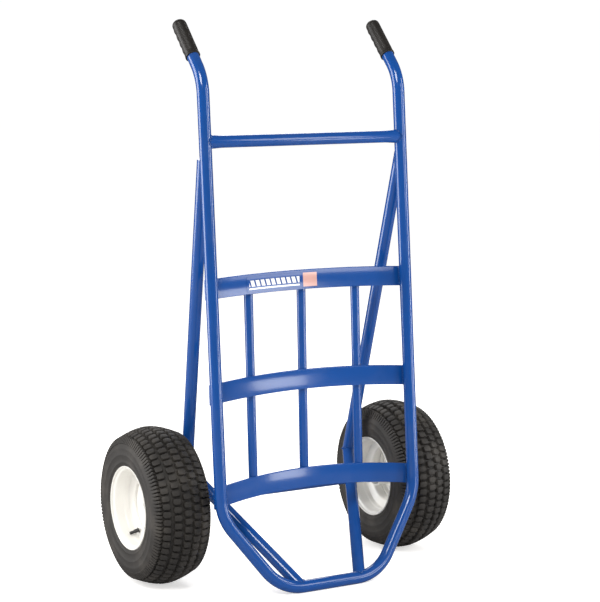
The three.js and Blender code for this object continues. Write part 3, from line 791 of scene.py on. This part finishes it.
# %% Rim pieces
half_rim = [
    (FLANGE_R - 1.2, RIM_HALF + 0.6),
    (FLANGE_R + 0.2, RIM_HALF - 1.0),
    (FLANGE_R - 1.5, RIM_HALF - 5.0),
    (SEAT_R + 1.0, RIM_HALF - 8.0),
    (SEAT_R, RIM_HALF - 12.0),
    (SEAT_R - 1.0, WELL_HALF + 20),
    (SEAT_R - 2.4, WELL_HALF + 17),
    (SEAT_R - 2.6, WELL_HALF + 5),
    (WELL_R + 1.5, WELL_HALF - 2),
    (WELL_R, WELL_HALF - 7),
]
rim_line = rounded_line(half_rim + [(r, -out) for r, out in reversed(half_rim)], 3.5)
lip = WELL_R - 3.3
disc_line = rounded_line(
    [(lip, DISC_FACE - 14), (lip, DISC_FACE), (HUB_R + 18, DISC_FACE), (HUB_R + 9, DISC_FACE - 7),
     (HUB_R + 0.4, DISC_FACE - 7)], 5
)
hub_outline = rounded_line([(20, -HUB_IN + 1), (20, -HUB_IN), (HUB_R, -HUB_IN), (HUB_R, HUB_OUT),
                            (20, HUB_OUT), (20, HUB_OUT - 1)], 1.0)


def washer(inner, outer, near, far):
    return [(inner, near), (outer - 0.5, near), (outer, near + 0.5), (outer, far - 0.5),
            (outer - 0.5, far), (inner, far)]


for label, side in (("left", -1), ("right", 1)):
    wheel = f"{label}_wheel"
    barrel = spun(sheet(rim_line, RIM_SHEET), side, segments=128)
    piece(f"{label}_rim", *barrel, rim_paint, wheel, "rim_paint", [f"{label}_rim_barrel"], sharp=50)
    disc = spun(sheet(disc_line, DISC_SHEET), side)
    piece(f"{label}_disc", *disc, rim_paint, wheel, "rim_paint", [f"{label}_wheel_disc"])
    hub = spun(hub_outline, side, segments=64)
    piece(f"{label}_hub_sleeve", *hub, rim_paint, wheel, "rim_paint", [f"{label}_hub"])
    for end, near in (("outer", HUB_OUT + 0.3), ("inner", -HUB_IN - 2.3)):
        bore = AXLE_R + BORE_CLEARANCE
        flange = washer(bore, BEARING_FLANGE_R, near, near + BEARING_FLANGE_T)
        start = near - BEARING_SLEEVE_LENGTH if end == "outer" else near + BEARING_FLANGE_T
        sleeve = washer(bore, BEARING_SLEEVE_R, start, start + BEARING_SLEEVE_LENGTH)
        shape = joined([spun(flange, side, segments=64), spun(sleeve, side, segments=64)])
        name = f"{label}_{end}_bearing"
        piece(name + "_ring", *shape, zinc, wheel, "bare_steel", [name])


# %% [markdown]
# ### Tyre
# The casing is spun, with fine rings on the side walls. The turf tread is rows of rounded blocks,
# each column half a step on from the next, and a ring of lugs on each shoulder. Blocks could be
# modelled one by one, but Geometry Nodes sets them on the crown from a few named numbers.

# %% Casing profile
TREAD_DEPTH = 8.2
CROWN_HALF = 67
half_casing = [
    (TYRE_R - TREAD_DEPTH, 0),
    (TYRE_R - TREAD_DEPTH - 2.6, 20),
    (TYRE_R - TREAD_DEPTH - 8.8, 43),
    (TYRE_R - TREAD_DEPTH - 15, 57),
    (TYRE_R - TREAD_DEPTH - 22, 68),
    (172, 75.5),
    (161, 79.4),
    (157, 80.6),
    (155.4, 81.2),
    (153.6, 80.6),
    (149, 80.9),
    (141, 80.4),
    (139.5, 81.2),
    (137.6, 81.2),
    (136, 80.2),
    (128, 79.2),
    (121, 78.2),
    (119.6, 79.0),
    (117.8, 78.8),
    (116.4, 77.6),
    (FLANGE_R + 2.5, RIM_HALF + 0.4),
    (FLANGE_R - 0.2, RIM_HALF - 6.0),
    (FLANGE_R - 5.0, RIM_HALF - 10.0),
    (SEAT_R + 1.9, RIM_HALF - 14.0),
    (SEAT_R + 1.9, RIM_HALF - 34.0),
    (120, RIM_HALF - 26.0),
    (150, 70),
    (175, 55),
    (186, 0),
]
casing_profile = half_casing + [(r, -out) for r, out in reversed(half_casing[1:-1])]


# %% Block shapes
def block_mesh(name, length, width, depth, taper, corner):
    """A tread block standing on Z = 0: length along Y, width along X, rounded and drafted."""
    rings = []
    for z, shrink, soft in ((-4.0, -taper, corner), (depth - 1.0, 0.0, corner), (depth - 0.25, 0.35, corner),
                            (depth, 1.1, corner * 0.8)):
        ring = []
        half_x, half_y = width / 2 - shrink - soft, length / 2 - shrink - soft
        for sx, sy, first in ((1, 1, 0), (-1, 1, 90), (-1, -1, 180), (1, -1, 270)):
            for k in range(3):
                t = math.radians(first + 45 * k)
                x = sx * half_x + soft * math.cos(t)
                y = sy * half_y + soft * math.sin(t)
                ring.append(Vector((x, y, z)) * MM)
        rings.append(ring)
    verts, faces = skin(rings)
    mesh = bpy.data.meshes.new(name)
    mesh.from_pydata([tuple(v) for v in verts], [], faces)
    return bpy.data.objects.new(name, mesh)


tread_block = block_mesh("tread_block", 14.6, 19.6, TREAD_DEPTH, 1.0, 4.2)
shoulder_lug = block_mesh("shoulder_lug", 6.6, 21.0, 5.2, 0.9, 1.8)

# %% Tread tree
tread = bpy.data.node_groups.new("turf_tread", "GeometryNodeTree")
face = tread.interface
face.new_socket("Casing", in_out="INPUT", socket_type="NodeSocketGeometry")
sockets = {}
for key, kind in (("Rows", "Int"), ("Columns", "Int"), ("Column pitch", "Float"), ("Crown radius", "Float"),
                  ("Crown half width", "Float"), ("Crown drop", "Float"), ("Side", "Float"),
                  ("Centre", "Vector"), ("Block", "Object"), ("Lug", "Object"), ("Lug out", "Float"),
                  ("Lug radius", "Float"), ("Lug tilt", "Float"), ("Material", "Material")):
    sockets[key] = face.new_socket(key, in_out="INPUT", socket_type="NodeSocket" + kind)
face.new_socket("Tyre", in_out="OUTPUT", socket_type="NodeSocketGeometry")
source = tread.nodes.new("NodeGroupInput").outputs
result = tread.nodes.new("NodeGroupOutput").inputs


def ring_of(tree, thing, count, angle, out, radius, tilt):
    """Instances round the wheel. tilt leans each one's top outboard from the radial way."""
    sine, cosine = calc(tree, "SINE", angle), calc(tree, "COSINE", angle)
    spot = add(tree, "ShaderNodeCombineXYZ", (
        calc(tree, "MULTIPLY", out, source["Side"]),
        calc(tree, "MULTIPLY", radius, sine),
        calc(tree, "MULTIPLY", radius, cosine),
    )).outputs[0]
    spot = add(tree, "ShaderNodeVectorMath", (spot, source["Centre"]), operation="ADD").outputs[0]
    lean, stand = calc(tree, "SINE", tilt), calc(tree, "COSINE", tilt)
    outward = add(tree, "ShaderNodeCombineXYZ", (
        calc(tree, "MULTIPLY", lean, source["Side"]),
        calc(tree, "MULTIPLY", stand, sine),
        calc(tree, "MULTIPLY", stand, cosine),
    )).outputs[0]
    around = add(tree, "ShaderNodeCombineXYZ", (0.0, cosine, calc(tree, "MULTIPLY", sine, -1.0))).outputs[0]
    turned = add(tree, "FunctionNodeAxesToRotation", (outward, around), primary_axis="Z", secondary_axis="Y")
    dots = add(tree, "GeometryNodePoints", {"Count": count, "Position": spot})
    return add(tree, "GeometryNodeInstanceOnPoints", {
        "Points": dots.outputs[0], "Instance": thing, "Rotation": turned.outputs[0],
    }).outputs[0]


index = add(tread, "GeometryNodeInputIndex").outputs[0]
column = calc(tread, "FLOORED_MODULO", index, source["Columns"])
row = calc(tread, "FLOOR", calc(tread, "DIVIDE", index, source["Columns"]))
stagger = calc(tread, "MULTIPLY", calc(tread, "FLOORED_MODULO", column, 2.0), 0.5)
step = calc(tread, "DIVIDE", 2 * math.pi, source["Rows"])
angle = calc(tread, "MULTIPLY", calc(tread, "ADD", row, stagger), step)
middle_column = calc(tread, "DIVIDE", calc(tread, "SUBTRACT", source["Columns"], 1.0), 2.0)
centred = calc(tread, "SUBTRACT", column, middle_column)
out = calc(tread, "MULTIPLY", centred, source["Column pitch"])
share = calc(tread, "DIVIDE", calc(tread, "ABSOLUTE", out), source["Crown half width"])
drop = calc(tread, "MULTIPLY", calc(tread, "POWER", share, 1.7), source["Crown drop"])
slope = calc(tread, "DIVIDE", calc(tread, "MULTIPLY", source["Crown drop"], 1.7), source["Crown half width"])
slope = calc(tread, "MULTIPLY", calc(tread, "POWER", share, 0.7), slope)
tilt = calc(tread, "MULTIPLY", calc(tread, "ARCTANGENT", slope), calc(tread, "SIGN", out))
block = add(tread, "GeometryNodeObjectInfo", {"Object": source["Block"]}).outputs["Geometry"]
radius = calc(tread, "SUBTRACT", source["Crown radius"], drop)
block_count = calc(tread, "MULTIPLY", source["Rows"], source["Columns"])
blocks = ring_of(tread, block, block_count, angle, out, radius, tilt)

# %% Shoulder lugs
# Two lugs for each row of blocks: even numbers stand on one shoulder and odd ones on the other.
hand = calc(tread, "SUBTRACT", calc(tread, "MULTIPLY", calc(tread, "FLOORED_MODULO", index, 2.0), 2.0), 1.0)
pair = calc(tread, "FLOOR", calc(tread, "DIVIDE", index, 2.0))
lug_angle = calc(tread, "MULTIPLY", calc(tread, "ADD", pair, 0.5), calc(tread, "MULTIPLY", step, 0.5))
lug = add(tread, "GeometryNodeObjectInfo", {"Object": source["Lug"]}).outputs["Geometry"]
lugs = ring_of(
    tread, lug, calc(tread, "MULTIPLY", source["Rows"], 4.0), lug_angle,
    calc(tread, "MULTIPLY", source["Lug out"], hand), source["Lug radius"],
    calc(tread, "MULTIPLY", source["Lug tilt"], hand),
)
together = add(tread, "GeometryNodeJoinGeometry")
for part in (lugs, blocks, source["Casing"]):
    tread.links.new(part, together.inputs[0])
real = add(tread, "GeometryNodeRealizeInstances", (together.outputs[0],))
coated = add(tread, "GeometryNodeSetMaterial", {"Geometry": real.outputs[0], "Material": source["Material"]})
tread.links.new(coated.outputs[0], result[0])

# %% Tyres
for label, side in (("left", -1), ("right", 1)):
    verts, faces = spun(casing_profile, side, segments=160)
    casing = bpy.data.meshes.new(f"{label}_casing")
    casing.from_pydata([tuple(c * MM for c in v) for v in verts], [], faces)
    values = {
        "Rows": 60, "Columns": 5, "Column pitch": 0.0255, "Crown radius": (TYRE_R - TREAD_DEPTH) * MM,
        "Crown half width": CROWN_HALF * MM, "Crown drop": 0.020, "Side": float(side),
        "Centre": (side * TRACK * MM, AXLE.y * MM, AXLE.z * MM), "Block": tread_block,
        "Lug": shoulder_lug, "Lug out": 0.0700, "Lug radius": 0.1745, "Lug tilt": 1.10,
        "Material": tyre_rubber,
    }
    mesh = converted(f"{label}_tread", casing, tread, [(sockets[k], v) for k, v in values.items()])
    finish_piece(
        f"{label}_turf_tyre", mesh, tyre_rubber, f"{label}_wheel", [f"{label}_tyre"], 40
    )

# %% [markdown]
# ### Valves
# A short rubber stem leans out from the outboard wall of the well, with a plastic cap.

# %% Valve pieces
VALVE_PITCH = 83
VALVE_ANGLE = math.radians(-61)
VALVE_TILT = math.radians(20)
away = Vector((0, math.cos(VALVE_ANGLE), math.sin(VALVE_ANGLE)))
for label, side in (("left", -1), ("right", 1)):
    foot_spot = AXLE.copy()
    foot_spot.x = side * (TRACK + WELL_HALF + 4.1)
    foot_spot += away * VALVE_PITCH
    lean = Vector((side * math.cos(VALVE_TILT), 0, 0)) + away * math.sin(VALVE_TILT)

    def valve(profile, sides=32):
        return tube([(foot_spot + lean * out, lean) for _, out in profile], [r for r, _ in profile], sides)

    stem = valve([(7.2, 0), (7.0, 1.2), (5.4, 2.4), (5.0, 13), (3.6, 14.5), (2.7, 15), (2.7, 21)])
    name = f"{label}_valve_stem"
    piece(name + "_rubber", *stem, valve_rubber, f"{label}_wheel", "valve_rubber", [name])
    cap = valve([(3.9, 16.0), (4.4, 16.5), (4.3, 24.0), (3.4, 25.4), (1.5, 25.9)])
    name = f"{label}_valve_cap"
    piece(name + "_plastic", *cap, cap_plastic, f"{label}_wheel", "cap_plastic", [name])

# %% [markdown]
# ## Axle and its fittings
# A turned bar with bevelled ends, a collar inboard of each wheel, and a washer and a split pin
# outboard of it.

# %% Axle
bevel = 1.2
ends = [
    (-AXLE_END, AXLE_R - bevel),
    (-AXLE_END + bevel, AXLE_R),
    (AXLE_END - bevel, AXLE_R),
    (AXLE_END, AXLE_R - bevel),
]
line = [(Vector((x, AXLE.y, AXLE.z)), Vector((1, 0, 0))) for x, _ in ends]
shape = tube(line, [r for _, r in ends], 48)
piece("axle_bar", *shape, axle_steel, "frame", "bare_steel", ["axle"])

for label, side in (("left", -1), ("right", 1)):
    for node, outer in (("axle_collar", 17.5), ("hub_washer", 22)):
        low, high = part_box(f"{label}_{node}")
        near, far = sorted((abs(low.x) / MM, abs(high.x) / MM))
        shape = spun(washer(AXLE_R + BORE_CLEARANCE, outer, near, far), side, middle=0, segments=64)
        piece(f"{label}_{node}_ring", *shape, zinc, "frame", "bare_steel", [f"{label}_{node}"])
    low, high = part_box(f"{label}_cotter_pin")
    x, wire, eye = (low.x + high.x) / 2 / MM, 1.9, 5.5
    top, bottom = high.z / MM - wire - eye, low.z / MM
    line = [(Vector((x, AXLE.y, bottom)), Vector((0, 0, 1)))]
    for k in range(25):
        t = math.radians(280) * k / 24
        spot = Vector((x, AXLE.y + eye - eye * math.cos(t), top + eye * math.sin(t)))
        line.append((spot, Vector((0, math.sin(t), math.cos(t)))))
    shape = tube(line, wire, 16)
    piece(f"{label}_split_pin", *shape, zinc, "frame", "bare_steel", [f"{label}_cotter_pin"])

# %% [markdown]
# ## Floor, light and camera
# A plain pale floor under soft studio light. Tall narrow softboxes on the right and behind draw
# pale streaks along the tubes and bands. The surround is white to the eye but dim to reflections,
# which keeps the paint deep, and the floor fades into it with only a soft shadow under the truck.

# %% Floor
FLOOR_GLOW = 0.54
floor_mesh = bpy.data.meshes.new("floor")
floor_mesh.from_pydata([(-30, -30, 0), (30, -30, 0), (30, 30, 0), (-30, 30, 0)], [], [(0, 1, 2, 3)])
floor = bpy.data.objects.new("floor", floor_mesh)
bpy.context.scene.collection.objects.link(floor)
floor_look = bpy.data.materials.new("floor_look")
floor_look.use_nodes = True
nodes = floor_look.node_tree
shader = nodes.nodes["Principled BSDF"]
place = add(nodes, "ShaderNodeTexCoord").outputs["Object"]
mottle = noise(nodes, place, 2.0)
pale = blend_colour(nodes, mottle, (0.90, 0.885, 0.865, 1), (0.92, 0.905, 0.885, 1))
paths = add(nodes, "ShaderNodeLightPath").outputs
pale = blend_colour(nodes, paths["Is Glossy Ray"], pale, (0.30, 0.30, 0.31, 1))
nodes.links.new(pale, shader.inputs["Base Color"])
shader.inputs["Roughness"].default_value = 0.9
shader.inputs["Specular IOR Level"].default_value = 0.0
shader.inputs["Emission Color"].default_value = (1.0, 0.99, 0.98, 1)
glow = calc(nodes, "MULTIPLY", paths["Is Camera Ray"], FLOOR_GLOW)
nodes.links.new(glow, shader.inputs["Emission Strength"])
floor_mesh.materials.append(floor_look)

# %% World
SURROUND = 0.54
GLOSSY_CUT = 0.40
SEEN_WHITE = 1.02
world = bpy.data.worlds.new("studio")
bpy.context.scene.world = world
world.use_nodes = True
nodes = world.node_tree
paths = add(nodes, "ShaderNodeLightPath").outputs
cut = calc(nodes, "MULTIPLY", paths["Is Glossy Ray"], GLOSSY_CUT)
plain = calc(nodes, "SUBTRACT", SURROUND, cut)
seen = calc(nodes, "MAXIMUM", plain, calc(nodes, "MULTIPLY", paths["Is Camera Ray"], SEEN_WHITE))
nodes.links.new(seen, nodes.nodes["Background"].inputs["Strength"])
nodes.nodes["Background"].inputs["Color"].default_value = (1, 1, 1, 1)


# %% Lights
def area_light(name, place, target, wide, tall, power, colour):
    data = bpy.data.lights.new(name, "AREA")
    data.shape, data.size, data.size_y, data.energy, data.color = "RECTANGLE", wide, tall, power, colour
    lamp = bpy.data.objects.new(name, data)
    bpy.context.scene.collection.objects.link(lamp)
    lamp.location = place
    way = Vector(target) - Vector(place)
    lamp.rotation_mode = "QUATERNION"
    lamp.rotation_quaternion = way.to_track_quat("-Z", "Y")


area_light("key", (-3.2, -3.4, 4.6), (0, 0, 0.5), 2.2, 2.2, 210, (1, 0.99, 0.97))
area_light("right_low", (1.70, -2.6, 0.31), (0, -0.1, 0.31), 0.52, 0.58, 6.2, (0.98, 0.99, 1))
area_light("right_strip", (2.35, -1.35, 1.15), (0, -0.1, 0.75), 0.42, 2.4, 36, (0.98, 0.99, 1))
area_light("rear_strip", (-2.65, 1.30, 1.3), (0, -0.1, 0.8), 1.7, 2.5, 82, (1, 1, 1))
area_light("upper_strip", (1.42, -2.6, 1.75), (0, -0.1, 1.15), 0.7, 1.3, 13, (1, 1, 1))
area_light("rear_top", (1.6, 3.4, 3.4), (0, 0, 0.6), 2.2, 2.2, 70, (1, 1, 1))

# %% Camera
AZIMUTH, ELEVATION, ROLL = math.radians(-29.53), math.radians(7.69), math.radians(-0.18)
CAMERA_PLACE = (-2.4049, -4.1204 + SHIFT_Y * MM, 1.3877)
LENS = 113.18
level = math.cos(ELEVATION)
back = Vector((math.sin(AZIMUTH) * level, -math.cos(AZIMUTH) * level, math.sin(ELEVATION)))
right = Vector((math.cos(AZIMUTH), math.sin(AZIMUTH), 0))
up = back.cross(right)
rolled = right * math.cos(ROLL) + up * math.sin(ROLL)
upright = up * math.cos(ROLL) - right * math.sin(ROLL)
camera_data = bpy.data.cameras.new("camera")
camera_data.lens = LENS
camera_data.sensor_width = 36
camera = bpy.data.objects.new("camera", camera_data)
bpy.context.scene.collection.objects.link(camera)
camera.matrix_world = Matrix((
    (rolled.x, upright.x, back.x, CAMERA_PLACE[0]),
    (rolled.y, upright.y, back.y, CAMERA_PLACE[1]),
    (rolled.z, upright.z, back.z, CAMERA_PLACE[2]),
    (0, 0, 0, 1),
))
bpy.context.scene.camera = camera
bpy.context.scene.view_settings.view_transform = "Standard"
